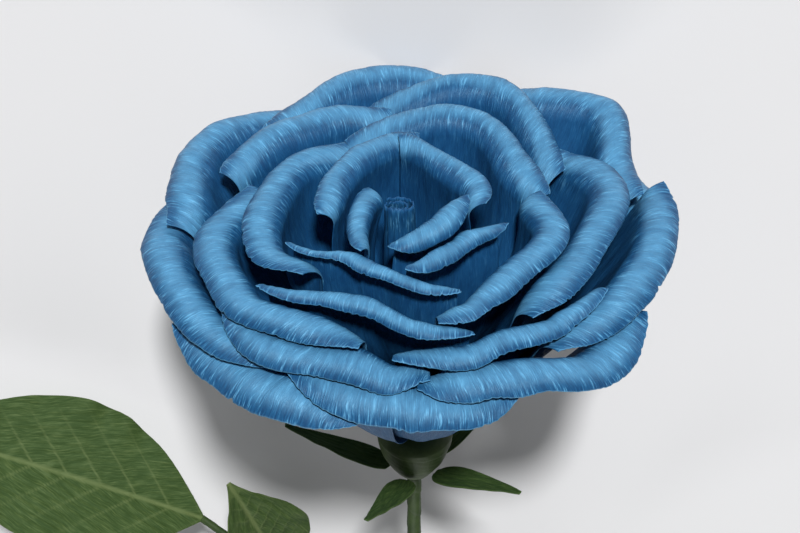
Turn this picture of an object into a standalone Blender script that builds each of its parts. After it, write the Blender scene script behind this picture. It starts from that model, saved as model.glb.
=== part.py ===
"""Crepe paper rose with a wired stem and two leaves, lying on its side as it comes to rest.

Sizes are in millimetres in the rose's own frame, and MM turns them into metres. In that frame
the stem runs along Z with the bloom at the top, and angles round the stem start at +X.
"""
import math

import bmesh
import bpy
import numpy as np
from mathutils import Matrix, Vector

MM = 0.001
MERGE_DISTANCE = 1e-7

# Paper and the clearance between pieces that rest on each other
PAPER = 0.45
CLEARANCE = 0.3
FACET_ALLOWANCE = 0.42

# Bloom
BLOOM_BASE_Z = 0.0
INNER_FOOT_Z = 14.0
FOOT_WIDTH_SHARE = 0.85
FOOT_TAPER_END = 0.5
OUTER_FOOT_SLOPE = math.radians(33)
INNER_FOOT_SLOPE = math.radians(84)
FOOT_PULL = 0.45
RIM_PULL = 0.4
INNER_ROLL_ENTRY = math.radians(108)
OUTER_ROLL_ENTRY = math.radians(50)
ROLL_RUN_OUT = 4.0

# Core of the bud and the cup of the calyx under the bloom
CORE_RADIUS = 3.4
CORE_TOP_Z = 61.0
CORE_DOME = 8.0
CALYX_RADIUS = 9.0
CALYX_MOUTH_RADIUS = 7.2
CALYX_HEIGHT = 18.0
CALYX_RIM = 2.0
CALYX_FULLNESS = 0.8

# Sepals
SEPAL_COUNT = 5
SEPAL_REACH = 25.0
SEPAL_RISE = 12.0
SEPAL_WIDTH = 7.0
SEPAL_END_WIDTH = 1.0
SEPAL_SEAT_DEPTH = 14.0
SEPAL_CURVE_OUT = (0.2, 0.6)
SEPAL_CURVE_UP = (0.1, 0.6)
SEPAL_WIDE_LOW = 0.6

# Stem: a steel wire wrapped in green tape
WIRE_RADIUS = 0.8
WIRE_INTO_CORE = 22.0
TAPE_WALL = 0.6
STEM_LENGTH = 200.0
WIRE_SHOWING = 4.0

# Leaves
STALK_RADIUS = 1.0
STALK_FOOT = 13.0
BAND_WIDTH = 9.0
BAND_WALL = 0.5
LEAF_CREASE = 0.22
LEAF_ARCH = 0.16
LEAF_WIDE_LOW = 0.85
LEAF_END_WIDTH = 1.2

# How the rose lies: on the far side of its bloom and the end of its stem
REST_TILT = math.radians(12.74)
REST_ROLL = math.radians(1.06)

# Petals from the inside out. Each line holds the centre and the half width in degrees round the
# stem, how far the rolled rim reaches out at five places from one side to the other, the height
# of its crest at one side, the middle and the other side, the radius of the roll and how far it
# turns past the crest in degrees.
PETALS = {
    "petal_bud": (150, 168, (5.2, 5.6, 6.0, 6.5, 7.4), (70.5, 72, 71), 1.2, 30),
    "petal_01": (302, 60, (13.5, 12.0, 11.2, 11.2, 11.5), (67.5, 70.5, 71), 3.2, 80),
    "petal_02": (190, 42, (12.0, 13.5, 15.0, 17.0, 19.0), (68, 70, 69), 2.9, 72),
    "petal_03": (305, 42, (20.0, 17.3, 15.8, 15.7, 20.0), (69, 68.5, 68), 2.9, 75),
    "petal_04": (50, 50, (15.0, 17.5, 18.4, 19.4, 22.5), (69, 70, 70), 3.6, 62),
    "petal_05": (138, 50, (24.0, 24.0, 23.0, 22.3, 21.5), (68.5, 70, 69), 3.6, 62),
    "petal_06": (245, 46, (29.5, 22.0, 20.5, 22.5, 25.8), (67, 67, 66), 2.0, 68),
    "petal_07": (328, 50, (29.5, 28.5, 29.5, 33.3, 29.0), (64, 65.5, 65), 4.4, 62),
    "petal_08": (170, 47, (28.5, 35.0, 36.0, 35.8, 29.0), (66.5, 67, 65), 4.7, 62),
    "petal_09": (250, 40, (39.0, 31.6, 29.3, 33.8, 34.8), (63.5, 64, 62.5), 2.8, 68),
    "petal_10": (70, 52, (30.0, 34.5, 40.5, 36.5, 30.0), (63.5, 67, 65.5), 4.9, 62),
    "petal_11": (205, 46, (39.0, 47.5, 44.6, 40.1, 36.8), (62, 62.5, 60), 5.5, 62),
    "petal_12": (128, 30, (41.0, 46.0, 48.0, 48.5, 47.0), (63, 64.5, 63), 5.2, 62),
    "petal_13": (70, 36, (41.0, 50.0, 58.5, 54.0, 44.0), (59, 63, 62), 5.5, 62),
    "petal_14": (0, 44, (34.0, 38.5, 43.5, 51.0, 46.5), (58, 63, 61.5), 5.5, 62),
    "petal_15": (300, 38, (36.8, 38.0, 37.6, 39.5, 43.2), (59, 60.5, 61), 3.8, 62),
    "petal_16": (240, 34, (46.0, 48.0, 42.5, 38.8, 36.5), (58.5, 59, 56), 5.2, 62),
    "petal_17": (46, 28, (54.0, 59.0, 68.5, 65.0, 58.0), (58.5, 61, 56.5), 6.5, 62),
    "petal_18": (103, 30, (56.0, 62.0, 63.0, 56.5, 52.0), (56, 61, 59), 6.0, 62),
    "petal_19": (144, 32, (54.0, 61.0, 63.5, 59.0, 54.5), (57, 61, 59.5), 6.0, 62),
    "petal_20": (196, 34, (55.0, 57.0, 56.3, 52.0, 43.5), (56.5, 59, 54), 6.0, 62),
    "petal_21": (348, 33, (40.0, 44.5, 51.5, 57.0, 60.0), (54, 58.5, 59), 6.0, 62),
    "petal_22": (306, 36, (36.0, 41.5, 48.0, 53.0, 52.0), (55.5, 57.5, 54), 6.5, 62),
    "petal_23": (266, 34, (43.5, 46.0, 45.5, 46.5, 44.5), (54.5, 56, 53), 7.0, 62),
    "petal_24": (229, 30, (55.0, 54.5, 52.0, 49.0, 44.5), (51, 53.5, 51), 7.3, 62),
    "petal_25": (39, 26, (57.0, 59.0, 59.0, 57.0, 54.0), (50.5, 51.5, 50), 5.7, 62),
}

# Leaves: where each stalk leaves the stem, the points its stalk passes and its leaflets. A leaflet
# has the share of the stalk where it sits, its direction, the way its face looks, its length, its
# width and how sharply its ends taper.
LEAVES = {
    "leaf_left": {
        "foot_z": -112.0,
        "foot_angle": 180,
        "stalk": ((-12, 4, -90), (-34, 13, -75), (-56, 21, -60)),
        "leaflets": {
            "end": (1.0, (-46, 2, 22), (0.15, -0.5, 0.85), 84, 40, 1.15),
            "lower": (0.6, (-22, -26, -46), (-0.2, -0.85, 0.3), 60, 32, 1.3),
            "upper": (0.68, (-7, -12, 42), (0.45, -0.75, 0.3), 46, 25, 1.3),
        },
    },
    "leaf_right": {
        "foot_z": -160.0,
        "foot_angle": 0,
        "stalk": ((12, -1, -138), (30, -5, -123), (46, -9, -110)),
        "leaflets": {
            "end": (1.0, (52, -8, 36), (-0.2, -0.75, 0.65), 74, 38, 1.1),
            "lower": (0.68, (34, -20, -40), (0.1, -0.9, 0.2), 56, 30, 1.3),
            "upper": (0.6, (-6, -20, 44), (0.3, -0.8, -0.4), 52, 28, 1.3),
        },
    },
}

# Rows and columns of a petal's facets
BODY_ROWS = 5
ROLL_ROWS = 4
COLUMN_DEGREES = 7.5
SIDE_CROWDING = math.radians(81)

# Facets of the round pieces, the sepals and the leaflets
ROUND_SIDES = 24
CORE_DOME_STEPS = 4
CALYX_STEPS = 8
SEPAL_ROWS = 8
SEPAL_COLUMNS = 3
LEAFLET_ROWS = 11
LEAFLET_COLUMNS = 5
STALK_RESOLUTION = 2
STALK_STEPS = 6

# Grid that the petals are laid on, how quickly a petal eases back after clearing another, and
# how much a lower rim counts against a wider one
ANGLE_STEP = 1.5
HEIGHT_STEP = 0.5
GRID_MARGIN = 6.0
PROFILE_STEPS = 160
BODY_SHARE = 0.72
EASE_ACROSS = 0.91
EASE_ALONG = 0.965
DEEPEST_TUCK = 12.0
TUCK_STEP = 0.5
TUCK_WEIGHT = 0.9


def material(name, colour, roughness, metallic=0.0):
    """A plain Principled material."""
    made = bpy.data.materials.new(name)
    made.use_nodes = True
    shader = made.node_tree.nodes["Principled BSDF"]
    shader.inputs["Base Color"].default_value = (*colour, 1.0)
    shader.inputs["Roughness"].default_value = roughness
    shader.inputs["Metallic"].default_value = metallic
    return made


def add_object(name, mesh, look, parent):
    """Place a mesh as a named object with its material under the rose's empty."""
    made = bpy.data.objects.new(name, mesh)
    bpy.context.scene.collection.objects.link(made)
    mesh.materials.append(look)
    mesh.shade_smooth()
    mesh.set_sharp_from_angle(angle=math.radians(40))
    made.parent = parent
    return made


def sheet(name, points, look, parent):
    """A sheet of paper through rows and columns of points, given its thickness."""
    rows, columns = points.shape[:2]
    bm = bmesh.new()
    bmesh.ops.create_grid(bm, x_segments=columns - 1, y_segments=rows - 1, size=1.0)
    for vert, point in zip(bm.verts, points.reshape(-1, 3)):
        vert.co = point * MM
    mesh = bpy.data.meshes.new(name)
    bm.to_mesh(mesh)
    bm.free()
    made = add_object(name, mesh, look, parent)
    solid = made.modifiers.new("paper", 'SOLIDIFY')
    solid.thickness = PAPER * MM
    solid.offset = 0.0
    return made


def turned(name, profile, look, parent):
    """A closed ring turned round the stem from a profile of radius and height pairs."""
    bm = bmesh.new()
    corners = [bm.verts.new((radius * MM, 0.0, height * MM)) for radius, height in profile]
    edges = [bm.edges.new((corners[i], corners[i - 1])) for i in range(len(corners))]
    bmesh.ops.spin(bm, geom=corners + edges, cent=(0, 0, 0), axis=(0, 0, 1),
                   angle=math.tau, steps=ROUND_SIDES, use_merge=True)
    bmesh.ops.remove_doubles(bm, verts=bm.verts, dist=MERGE_DISTANCE)
    bmesh.ops.recalc_face_normals(bm, faces=bm.faces)
    mesh = bpy.data.meshes.new(name)
    bm.to_mesh(mesh)
    bm.free()
    return add_object(name, mesh, look, parent)


def bezier(start, start_pull, end_pull, end, share):
    """Points of a cubic curve at the given shares of its parameter."""
    rest = 1.0 - share
    return (rest ** 3 * start + 3 * rest ** 2 * share * start_pull
            + 3 * rest * share ** 2 * end_pull + share ** 3 * end)


def through(values, across):
    """A smooth curve through evenly spaced values, read at places from -1 to 1."""
    values = np.array(values, dtype=float)
    padded = np.concatenate((values[:1], values, values[-1:]))
    place = (across + 1) / 2 * (len(values) - 1)
    index = np.clip(np.floor(place).astype(int), 0, len(values) - 2)
    share = place - index
    before, start, end, after = (padded[index + offset] for offset in range(4))
    slope_in = (end - before) / 2
    slope_out = (after - start) / 2
    return (start * (1 + 2 * share) * (1 - share) ** 2 + slope_in * share * (1 - share) ** 2
            + end * share ** 2 * (3 - 2 * share) - slope_out * share ** 2 * (1 - share))


def petal_profile(across, along, spec, depth, tuck=0.0):
    """Radius and height of a petal's middle surface before it is laid against the others.

    across runs from -1 to 1 and along from 0 at the foot to 1 at the rim's edge. depth is 0 for
    the innermost petal and 1 for the outermost.
    """
    rim_radii, crest_heights, roll, turn = spec[2:]
    run_out = 1.0 - np.abs(across) ** ROLL_RUN_OUT
    crest_r = through(rim_radii, across) - roll * run_out * math.sin(math.radians(min(turn, 90)))
    bend = (crest_heights[0] + crest_heights[2]) / 2 - crest_heights[1]
    lean = (crest_heights[2] - crest_heights[0]) / 2
    crest_z = crest_heights[1] + lean * across + bend * across ** 2 - tuck
    foot_r = CORE_RADIUS + CLEARANCE + PAPER
    foot_z = INNER_FOOT_Z + (BLOOM_BASE_Z - INNER_FOOT_Z) * depth
    slope = INNER_FOOT_SLOPE + (OUTER_FOOT_SLOPE - INNER_FOOT_SLOPE) * depth
    entry = INNER_ROLL_ENTRY + (OUTER_ROLL_ENTRY - INNER_ROLL_ENTRY) * depth
    entry_r = crest_r - roll * math.sin(entry)
    entry_z = crest_z - roll * (1 - math.cos(entry))
    reach = np.hypot(entry_r - foot_r, entry_z - foot_z)
    body = np.minimum(along / BODY_SHARE, 1.0)
    body_r = bezier(foot_r, foot_r + FOOT_PULL * reach * math.cos(slope),
                    entry_r - RIM_PULL * reach * math.cos(entry), entry_r, body)
    body_z = bezier(foot_z, foot_z + FOOT_PULL * reach * math.sin(slope),
                    entry_z - RIM_PULL * reach * math.sin(entry), entry_z, body)
    sweep = entry + math.radians(turn) * run_out
    angle = sweep * np.maximum(along - BODY_SHARE, 0.0) / (1 - BODY_SHARE) - entry
    roll_r = crest_r + roll * np.sin(angle)
    roll_z = crest_z - roll * (1 - np.cos(angle))
    on_body = along <= BODY_SHARE
    return np.where(on_body, body_r, roll_r), np.where(on_body, body_z, roll_z)


def petal_angles(across, along, spec):
    """Angles round the stem in degrees. A petal narrows towards its foot."""
    centre, half = spec[:2]
    spread = np.minimum(along / FOOT_TAPER_END, 1.0)
    return centre + half * across * (FOOT_WIDTH_SHARE + (1 - FOOT_WIDTH_SHARE) * spread)


def eased(push, axis, keep):
    """Let a push fade in both directions along one axis instead of ending in a step."""
    push = np.moveaxis(push.copy(), axis, 0)
    for i in range(1, len(push)):
        push[i] = np.maximum(push[i], push[i - 1] * keep)
    for i in range(len(push) - 2, -1, -1):
        push[i] = np.maximum(push[i], push[i + 1] * keep)
    return np.moveaxis(push, 0, axis)


class Bloom:
    """How far out the petals reach so far, by angle round the stem and height."""

    def __init__(self):
        turns = round(360 / ANGLE_STEP)
        highest = max(max(spec[3]) for spec in PETALS.values())
        self.lowest = BLOOM_BASE_Z - GRID_MARGIN
        heights = round((highest + GRID_MARGIN - self.lowest) / HEIGHT_STEP)
        self.reach = np.full((turns, heights), CORE_RADIUS + PAPER / 2)

    def cells(self, angle, height):
        """Row and column of each point in the table."""
        turns, heights = self.reach.shape
        row = np.round(angle / ANGLE_STEP).astype(int) % turns
        column = np.round((height - self.lowest) / HEIGHT_STEP).astype(int)
        return row, np.clip(column, 1, heights - 2)

    def around(self, angle, height):
        """The widest reach in each point's cell and the cells round it."""
        row, column = self.cells(angle, height)
        turns = len(self.reach)
        found = self.reach[row, column]
        for aside in (-1, 0, 1):
            for above in (-1, 0, 1):
                found = np.maximum(found, self.reach[(row + aside) % turns, column + above])
        return found

    def push_for(self, spec, depth, across, along, tuck):
        """How far each point of a petal must move out to clear the petals inside it."""
        radius, height = petal_profile(across, along, spec, depth, tuck)
        angle = petal_angles(across, along, spec) + 0 * radius
        room = PAPER + CLEARANCE + FACET_ALLOWANCE
        push = np.maximum(self.around(angle, height) + room - radius, 0.0)
        roll = along[0] >= BODY_SHARE
        push[:, roll] = push[:, roll].max(axis=1, keepdims=True)
        return push

    def lay(self, spec, depth):
        """Lay a petal over the ones inside it, its rim tucked under theirs where that is nearer.

        Returns how far the rim is tucked down across the petal and the push outwards over it.
        """
        count = int(2 * spec[1] / ANGLE_STEP) + 2
        across = np.linspace(-1, 1, count)[:, None]
        along = np.linspace(0, 1, PROFILE_STEPS)[None, :]
        tucks = np.arange(0.0, DEEPEST_TUCK, TUCK_STEP)
        costs = [self.push_for(spec, depth, across, along, tuck)[:, -1] + TUCK_WEIGHT * tuck
                 for tuck in tucks]
        tuck = tucks[np.argmin(costs, axis=0)][:, None]
        tuck = eased(tuck, 0, EASE_ACROSS)
        push = self.push_for(spec, depth, across, along, tuck)
        push = eased(eased(push, 1, EASE_ALONG), 0, EASE_ACROSS)
        roll = along[0] >= BODY_SHARE
        push[:, roll] = push[:, roll].max(axis=1, keepdims=True)
        radius, height = petal_profile(across, along, spec, depth, tuck)
        angle = petal_angles(across, along, spec) + 0 * radius
        np.maximum.at(self.reach, self.cells(angle, height), radius + push)
        return tuck, push


def sampled(table, across, along):
    """Values of a table over a petal at other places, by straight interpolation."""
    rows = (across + 1) / 2 * (table.shape[0] - 1)
    columns = along * (table.shape[1] - 1)
    low_row = np.minimum(rows.astype(int), table.shape[0] - 2)
    low_column = np.minimum(columns.astype(int), table.shape[1] - 2)
    by_row = rows - low_row
    by_column = columns - low_column
    first = table[low_row, low_column] * (1 - by_column) + table[low_row, low_column + 1] * by_column
    second = (table[low_row + 1, low_column] * (1 - by_column)
              + table[low_row + 1, low_column + 1] * by_column)
    return first * (1 - by_row) + second * by_row


def petal_points(spec, depth, tuck, push, across, along):
    """Points of a petal's middle surface, rows along it and columns across it."""
    across, along = np.meshgrid(across, along)
    tuck = np.interp(across, np.linspace(-1, 1, len(tuck)), tuck[:, 0])
    radius, height = petal_profile(across, along, spec, depth, tuck)
    radius = radius + sampled(push, across, along)
    angle = np.radians(petal_angles(across, along, spec))
    return np.stack((radius * np.cos(angle), radius * np.sin(angle), height), axis=-1)


def across_stations(width):
    """Places across a petal of the given width in degrees, closer together at its sides."""
    even = np.linspace(-1, 1, math.ceil(width / COLUMN_DEGREES) + 1)
    return np.sin(even * SIDE_CROWDING) / math.sin(SIDE_CROWDING)


def add_petals(parent):
    """Every petal, laid one over the other from the bud outwards."""
    blue = material("crepe_blue", (0.045, 0.19, 0.38), 0.85)
    bloom = Bloom()
    body_rows = np.linspace(0, BODY_SHARE, BODY_ROWS + 1)
    roll_rows = np.linspace(BODY_SHARE, 1, ROLL_ROWS + 1)
    along = np.concatenate((body_rows, roll_rows[1:]))
    for place, (name, spec) in enumerate(PETALS.items()):
        depth = place / (len(PETALS) - 1)
        tuck, push = bloom.lay(spec, depth)
        points = petal_points(spec, depth, tuck, push, across_stations(2 * spec[1]), along)
        sheet(name, points, blue, parent)


def calyx_radius(depth):
    """Outer radius of the calyx cup at a depth below its top."""
    neck = WIRE_RADIUS + CLEARANCE + TAPE_WALL
    swell = math.cos(max(depth - CALYX_RIM, 0.0) / (CALYX_HEIGHT - CALYX_RIM) * math.pi / 2)
    return neck + (CALYX_RADIUS - neck) * swell ** CALYX_FULLNESS


def calyx_top():
    """Height of the cup's top, just under the lowest petal's foot."""
    return BLOOM_BASE_Z - CLEARANCE


def add_core_and_calyx(parent, green):
    """The core inside the bud and the green cup under the bloom, both bored for the wire."""
    pulp = material("cotton_core", (0.55, 0.52, 0.45), 0.95)
    bore = WIRE_RADIUS + CLEARANCE
    bore_top = BLOOM_BASE_Z + WIRE_INTO_CORE + CLEARANCE
    core = [(bore, BLOOM_BASE_Z), (CORE_RADIUS, BLOOM_BASE_Z)]
    for turn in np.linspace(0, math.pi / 2, CORE_DOME_STEPS):
        core.append((CORE_RADIUS * math.cos(turn), CORE_TOP_Z - CORE_DOME * (1 - math.sin(turn))))
    core += [(0.0, bore_top), (bore, bore_top)]
    turned("bud_core", core, pulp, parent)
    top = calyx_top()
    cup = [(bore, top), (CALYX_MOUTH_RADIUS, top)]
    for depth in np.linspace(CALYX_RIM, CALYX_HEIGHT, CALYX_STEPS):
        cup.append((calyx_radius(depth), top - depth))
    cup.append((bore, top - CALYX_HEIGHT))
    turned("calyx_cup", cup, green, parent)


def add_sepals(parent, green):
    """Five narrow sepals that flare out from the cup's neck."""
    seat_z = calyx_top() - SEPAL_SEAT_DEPTH
    seat_r = calyx_radius(SEPAL_SEAT_DEPTH) + CLEARANCE + PAPER
    along = np.linspace(0, 1, SEPAL_ROWS)
    line_r = seat_r + SEPAL_REACH * bezier(0.0, *SEPAL_CURVE_OUT, 1.0, along)
    line_z = seat_z + SEPAL_RISE * bezier(0.0, *SEPAL_CURVE_UP, 1.0, along)
    swell = np.sin(math.pi * along ** SEPAL_WIDE_LOW)
    width = SEPAL_END_WIDTH + (SEPAL_WIDTH - SEPAL_END_WIDTH) * swell
    aside = np.linspace(-0.5, 0.5, SEPAL_COLUMNS)[None, :] * width[:, None]
    for place in range(SEPAL_COUNT):
        turn = math.tau * (place + 0.5) / SEPAL_COUNT
        x = line_r[:, None] * math.cos(turn) - aside * math.sin(turn)
        y = line_r[:, None] * math.sin(turn) + aside * math.cos(turn)
        z = line_z[:, None] + 0 * aside
        sheet(f"sepal_{place + 1}", np.stack((x, y, z), axis=-1), green, parent)


def stem_end():
    """Height of the stem's taped end."""
    return calyx_top() - CALYX_HEIGHT - CLEARANCE - STEM_LENGTH


def add_stem(parent, green):
    """The steel wire, from its cut end into the bud's core, and the tape wound round it."""
    steel = material("wire_steel", (0.45, 0.45, 0.46), 0.35, metallic=1.0)
    wire_end = stem_end() - WIRE_SHOWING
    wire_top = BLOOM_BASE_Z + WIRE_INTO_CORE
    turned("stem_wire", [(0.0, wire_end), (WIRE_RADIUS, wire_end), (WIRE_RADIUS, wire_top),
                         (0.0, wire_top)], steel, parent)
    bore = WIRE_RADIUS + CLEARANCE
    tape_top = calyx_top() - CALYX_HEIGHT - CLEARANCE
    turned("stem_tape", [(bore, stem_end()), (bore + TAPE_WALL, stem_end()),
                         (bore + TAPE_WALL, tape_top), (bore, tape_top)], green, parent)


def smooth_route(points, lead, steps):
    """Points of a smooth curve that leaves the first point along lead and passes the others."""
    line = []
    for i in range(len(points) - 1):
        start, end = points[i], points[i + 1]
        pull_in = (end - points[i - 1]) / 6 if i else lead / 3
        pull_out = (points[min(i + 2, len(points) - 1)] - start) / 6
        shares = np.arange(steps) / steps
        line += [bezier(start, start + pull_in, end - pull_out, end, share) for share in shares]
    line.append(points[-1])
    return line


def add_tube(name, route, radius, look, parent):
    """A round tube along a route."""
    curve = bpy.data.curves.new(name, 'CURVE')
    curve.dimensions = '3D'
    curve.bevel_depth = radius * MM
    curve.bevel_resolution = STALK_RESOLUTION
    curve.use_fill_caps = True
    spline = curve.splines.new('POLY')
    spline.points.add(len(route) - 1)
    for point, place in zip(spline.points, route):
        point.co = (*(place * MM), 1.0)
    curve.materials.append(look)
    made = bpy.data.objects.new(name, curve)
    bpy.context.scene.collection.objects.link(made)
    made.parent = parent


def add_band(name, low, angle, offset, green, parent):
    """A turn of tape round the stem and the foot of a leaf stalk beside it."""
    bm = bmesh.new()
    rings = []
    centres = np.array(((0.0, 0.0), (offset, 0.0)))
    radii = np.array((WIRE_RADIUS + CLEARANCE + TAPE_WALL, STALK_RADIUS)) + CLEARANCE
    for wall in (0.0, BAND_WALL):
        ring = []
        for normal_angle in np.linspace(0, math.tau, ROUND_SIDES, endpoint=False):
            normal = np.array((math.cos(normal_angle), math.sin(normal_angle)))
            wider = int(np.argmax(centres @ normal + radii))
            x, y = centres[wider] + (radii[wider] + wall) * normal
            ring.append(bm.verts.new((x * MM, y * MM, low * MM)))
        rings.append(ring)
    inner, outer = rings
    for i in range(len(inner)):
        bm.faces.new((inner[i - 1], inner[i], outer[i], outer[i - 1]))
    raised = bmesh.ops.extrude_face_region(bm, geom=list(bm.faces))
    tops = [item for item in raised["geom"] if isinstance(item, bmesh.types.BMVert)]
    bmesh.ops.translate(bm, verts=tops, vec=(0, 0, BAND_WIDTH * MM))
    bmesh.ops.rotate(bm, verts=bm.verts, cent=(0, 0, 0), matrix=Matrix.Rotation(angle, 3, 'Z'))
    bmesh.ops.recalc_face_normals(bm, faces=bm.faces)
    mesh = bpy.data.meshes.new(name)
    bm.to_mesh(mesh)
    bm.free()
    add_object(name, mesh, green, parent)


def leaflet_points(start, direction, face, length, width, sharpness):
    """A pointed oval blade, creased along its midrib and arched along its length."""
    direction = Vector(direction).normalized()
    side = direction.cross(Vector(face)).normalized()
    normal = side.cross(direction)
    along = np.linspace(0, 1, LEAFLET_ROWS)[:, None]
    swell = np.clip(np.sin(math.pi * along ** LEAF_WIDE_LOW), 0, 1) ** sharpness
    half = LEAF_END_WIDTH / 2 + (width - LEAF_END_WIDTH) / 2 * swell
    aside = np.linspace(-1, 1, LEAFLET_COLUMNS)[None, :] * half
    lift = LEAF_CREASE * np.abs(aside) - LEAF_ARCH * length * along ** 2
    out = along * length + 0 * aside
    return (np.array(start) + out[..., None] * np.array(direction)
            + aside[..., None] * np.array(side) + lift[..., None] * np.array(normal))


def add_leaf(name, spec, parent, green, leaf_green):
    """One leaf: its wired stalk, the tape that binds it to the stem and its three leaflets."""
    angle = math.radians(spec["foot_angle"])
    offset = WIRE_RADIUS + CLEARANCE + TAPE_WALL + CLEARANCE + STALK_RADIUS
    foot = np.array((offset * math.cos(angle), offset * math.sin(angle), spec["foot_z"]))
    rise = np.array((0.0, 0.0, STALK_FOOT))
    points = [foot + rise] + [np.array(point, float) for point in spec["stalk"]]
    route = [foot, foot + rise / 2] + smooth_route(points, rise, STALK_STEPS)
    add_tube(f"{name}_stalk", route, STALK_RADIUS, green, parent)
    band_low = spec["foot_z"] + (STALK_FOOT - BAND_WIDTH) / 2
    add_band(f"{name}_tape_band", band_low, angle, offset, green, parent)
    for part_name, (share, direction, face, *blade_sizes) in spec["leaflets"].items():
        place = round(share * (len(route) - 1))
        tangent = Vector(route[place] - route[place - 1]).normalized()
        aim = Vector(direction).normalized()
        if place == len(route) - 1:
            gap = CLEARANCE + PAPER
        else:
            gap = (STALK_RADIUS + CLEARANCE + LEAF_END_WIDTH / 2) / math.sin(aim.angle(tangent))
        start = route[place] + gap * np.array(aim)
        blade = leaflet_points(start, direction, face, *blade_sizes)
        sheet(f"{name}_{part_name}_leaflet", blade, leaf_green, parent)


def rest_on_floor(rose):
    """Lay the rose down and move it so that its box stands centred on the origin."""
    rose.rotation_mode = 'QUATERNION'
    turn = Matrix.Rotation(REST_TILT - math.pi / 2, 3, 'X') @ Matrix.Rotation(REST_ROLL, 3, 'Z')
    rose.rotation_quaternion = turn.to_quaternion()
    bpy.context.view_layer.update()
    graph = bpy.context.evaluated_depsgraph_get()
    corners = []
    for piece in rose.children:
        seen = piece.evaluated_get(graph)
        mesh = seen.to_mesh()
        places = np.empty(len(mesh.vertices) * 3)
        mesh.vertices.foreach_get("co", places)
        places = places.reshape(-1, 3) @ np.array(seen.matrix_world.to_3x3()).T
        corners += [places.min(axis=0), places.max(axis=0)]
        seen.to_mesh_clear()
    low = np.min(corners, axis=0)
    high = np.max(corners, axis=0)
    rose.location = (-(low[0] + high[0]) / 2, -(low[1] + high[1]) / 2, -low[2])


def build():
    """The whole rose under one empty, which lays it on its side."""
    for old in list(bpy.data.objects):
        bpy.data.objects.remove(old)
    rose = bpy.data.objects.new("rose", None)
    bpy.context.scene.collection.objects.link(rose)
    green = material("tape_green", (0.035, 0.075, 0.012), 0.85)
    leaf_green = material("leaf_green", (0.032, 0.058, 0.011), 0.8)
    add_petals(rose)
    add_core_and_calyx(rose, green)
    add_sepals(rose, green)
    add_stem(rose, green)
    for name, spec in LEAVES.items():
        add_leaf(name, spec, rose, green, leaf_green)
    rest_on_floor(rose)


build()
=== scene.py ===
"""Looks for the crepe paper rose: crinkled petals, green taped stem, calyx and leaves.

Sizes are in millimetres in the rose's own frame, with the stem along Z and the bloom at the top.
The finished pieces are laid down as the rose rests, so that they sit where the solids are.
"""
import math

import bmesh
import bpy
import numpy as np
from mathutils import Matrix, Vector


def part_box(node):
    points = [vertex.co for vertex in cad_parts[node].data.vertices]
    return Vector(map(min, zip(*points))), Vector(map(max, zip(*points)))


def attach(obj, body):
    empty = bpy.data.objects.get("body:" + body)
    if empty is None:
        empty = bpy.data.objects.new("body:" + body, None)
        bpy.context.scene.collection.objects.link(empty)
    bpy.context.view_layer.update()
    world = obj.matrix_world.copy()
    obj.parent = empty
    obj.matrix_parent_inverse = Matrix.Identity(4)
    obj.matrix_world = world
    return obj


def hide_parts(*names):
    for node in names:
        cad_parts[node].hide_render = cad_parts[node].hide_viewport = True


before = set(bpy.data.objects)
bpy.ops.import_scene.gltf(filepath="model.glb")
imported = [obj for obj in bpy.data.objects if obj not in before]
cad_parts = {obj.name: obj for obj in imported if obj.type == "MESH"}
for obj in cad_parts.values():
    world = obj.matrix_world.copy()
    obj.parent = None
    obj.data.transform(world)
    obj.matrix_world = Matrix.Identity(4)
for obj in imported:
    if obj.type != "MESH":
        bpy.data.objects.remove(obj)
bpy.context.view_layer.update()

MM = 0.001
MERGE_DISTANCE = 1e-7

# Paper and the clearance between pieces that rest on each other
PAPER = 0.45
CLEARANCE = 0.3
FACET_ALLOWANCE = 0.42
CREPE_WALL = 0.22
TAPE_SHEET = 0.3

# Bloom
BLOOM_BASE_Z = 0.0
INNER_FOOT_Z = 14.0
FOOT_WIDTH_SHARE = 0.85
FOOT_TAPER_END = 0.5
OUTER_FOOT_SLOPE = math.radians(33)
INNER_FOOT_SLOPE = math.radians(84)
FOOT_PULL = 0.45
RIM_PULL = 0.4
INNER_ROLL_ENTRY = math.radians(108)
OUTER_ROLL_ENTRY = math.radians(50)
ROLL_RUN_OUT = 4.0

# Core of the bud, and the cup of the calyx
CORE_RADIUS = 3.4
CORE_TOP_Z = 58.0
CORE_DOME = 8.0
CALYX_RADIUS = 9.0
CALYX_MOUTH_RADIUS = 7.2
CALYX_HEIGHT = 18.0
CALYX_RIM = 2.0
CALYX_FULLNESS = 0.8

# Sepals
SEPAL_COUNT = 5
SEPAL_REACH = 25.0
SEPAL_RISE = 12.0
SEPAL_WIDTH = 7.0
SEPAL_END_WIDTH = 1.0
SEPAL_SEAT_DEPTH = 14.0
SEPAL_CURVE_OUT = (0.2, 0.6)
SEPAL_CURVE_UP = (0.1, 0.6)
SEPAL_WIDE_LOW = 0.6

# Stem
WIRE_RADIUS = 0.8
WIRE_INTO_CORE = 22.0
TAPE_WALL = 0.6
STEM_LENGTH = 200.0
WIRE_SHOWING = 4.0
TAPE_TURN = 8.5

# The bore round the wire, the outside of the taped stem, and the tops of the cup and of the tape
WIRE_BORE = WIRE_RADIUS + CLEARANCE
TAPED_RADIUS = WIRE_BORE + TAPE_WALL
CALYX_TOP = BLOOM_BASE_Z - CLEARANCE
STEM_TOP = CALYX_TOP - CALYX_HEIGHT - CLEARANCE

# Leaves
STALK_RADIUS = 1.0
STALK_FOOT = 13.0
BAND_WIDTH = 9.0
BAND_WALL = 0.5
LEAF_CREASE = 0.22
LEAF_ARCH = 0.16
LEAF_WIDE_LOW = 0.85
LEAF_END_WIDTH = 1.2

# How the rose lies
REST_TILT = math.radians(12.74)
REST_ROLL = math.radians(1.06)

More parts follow.
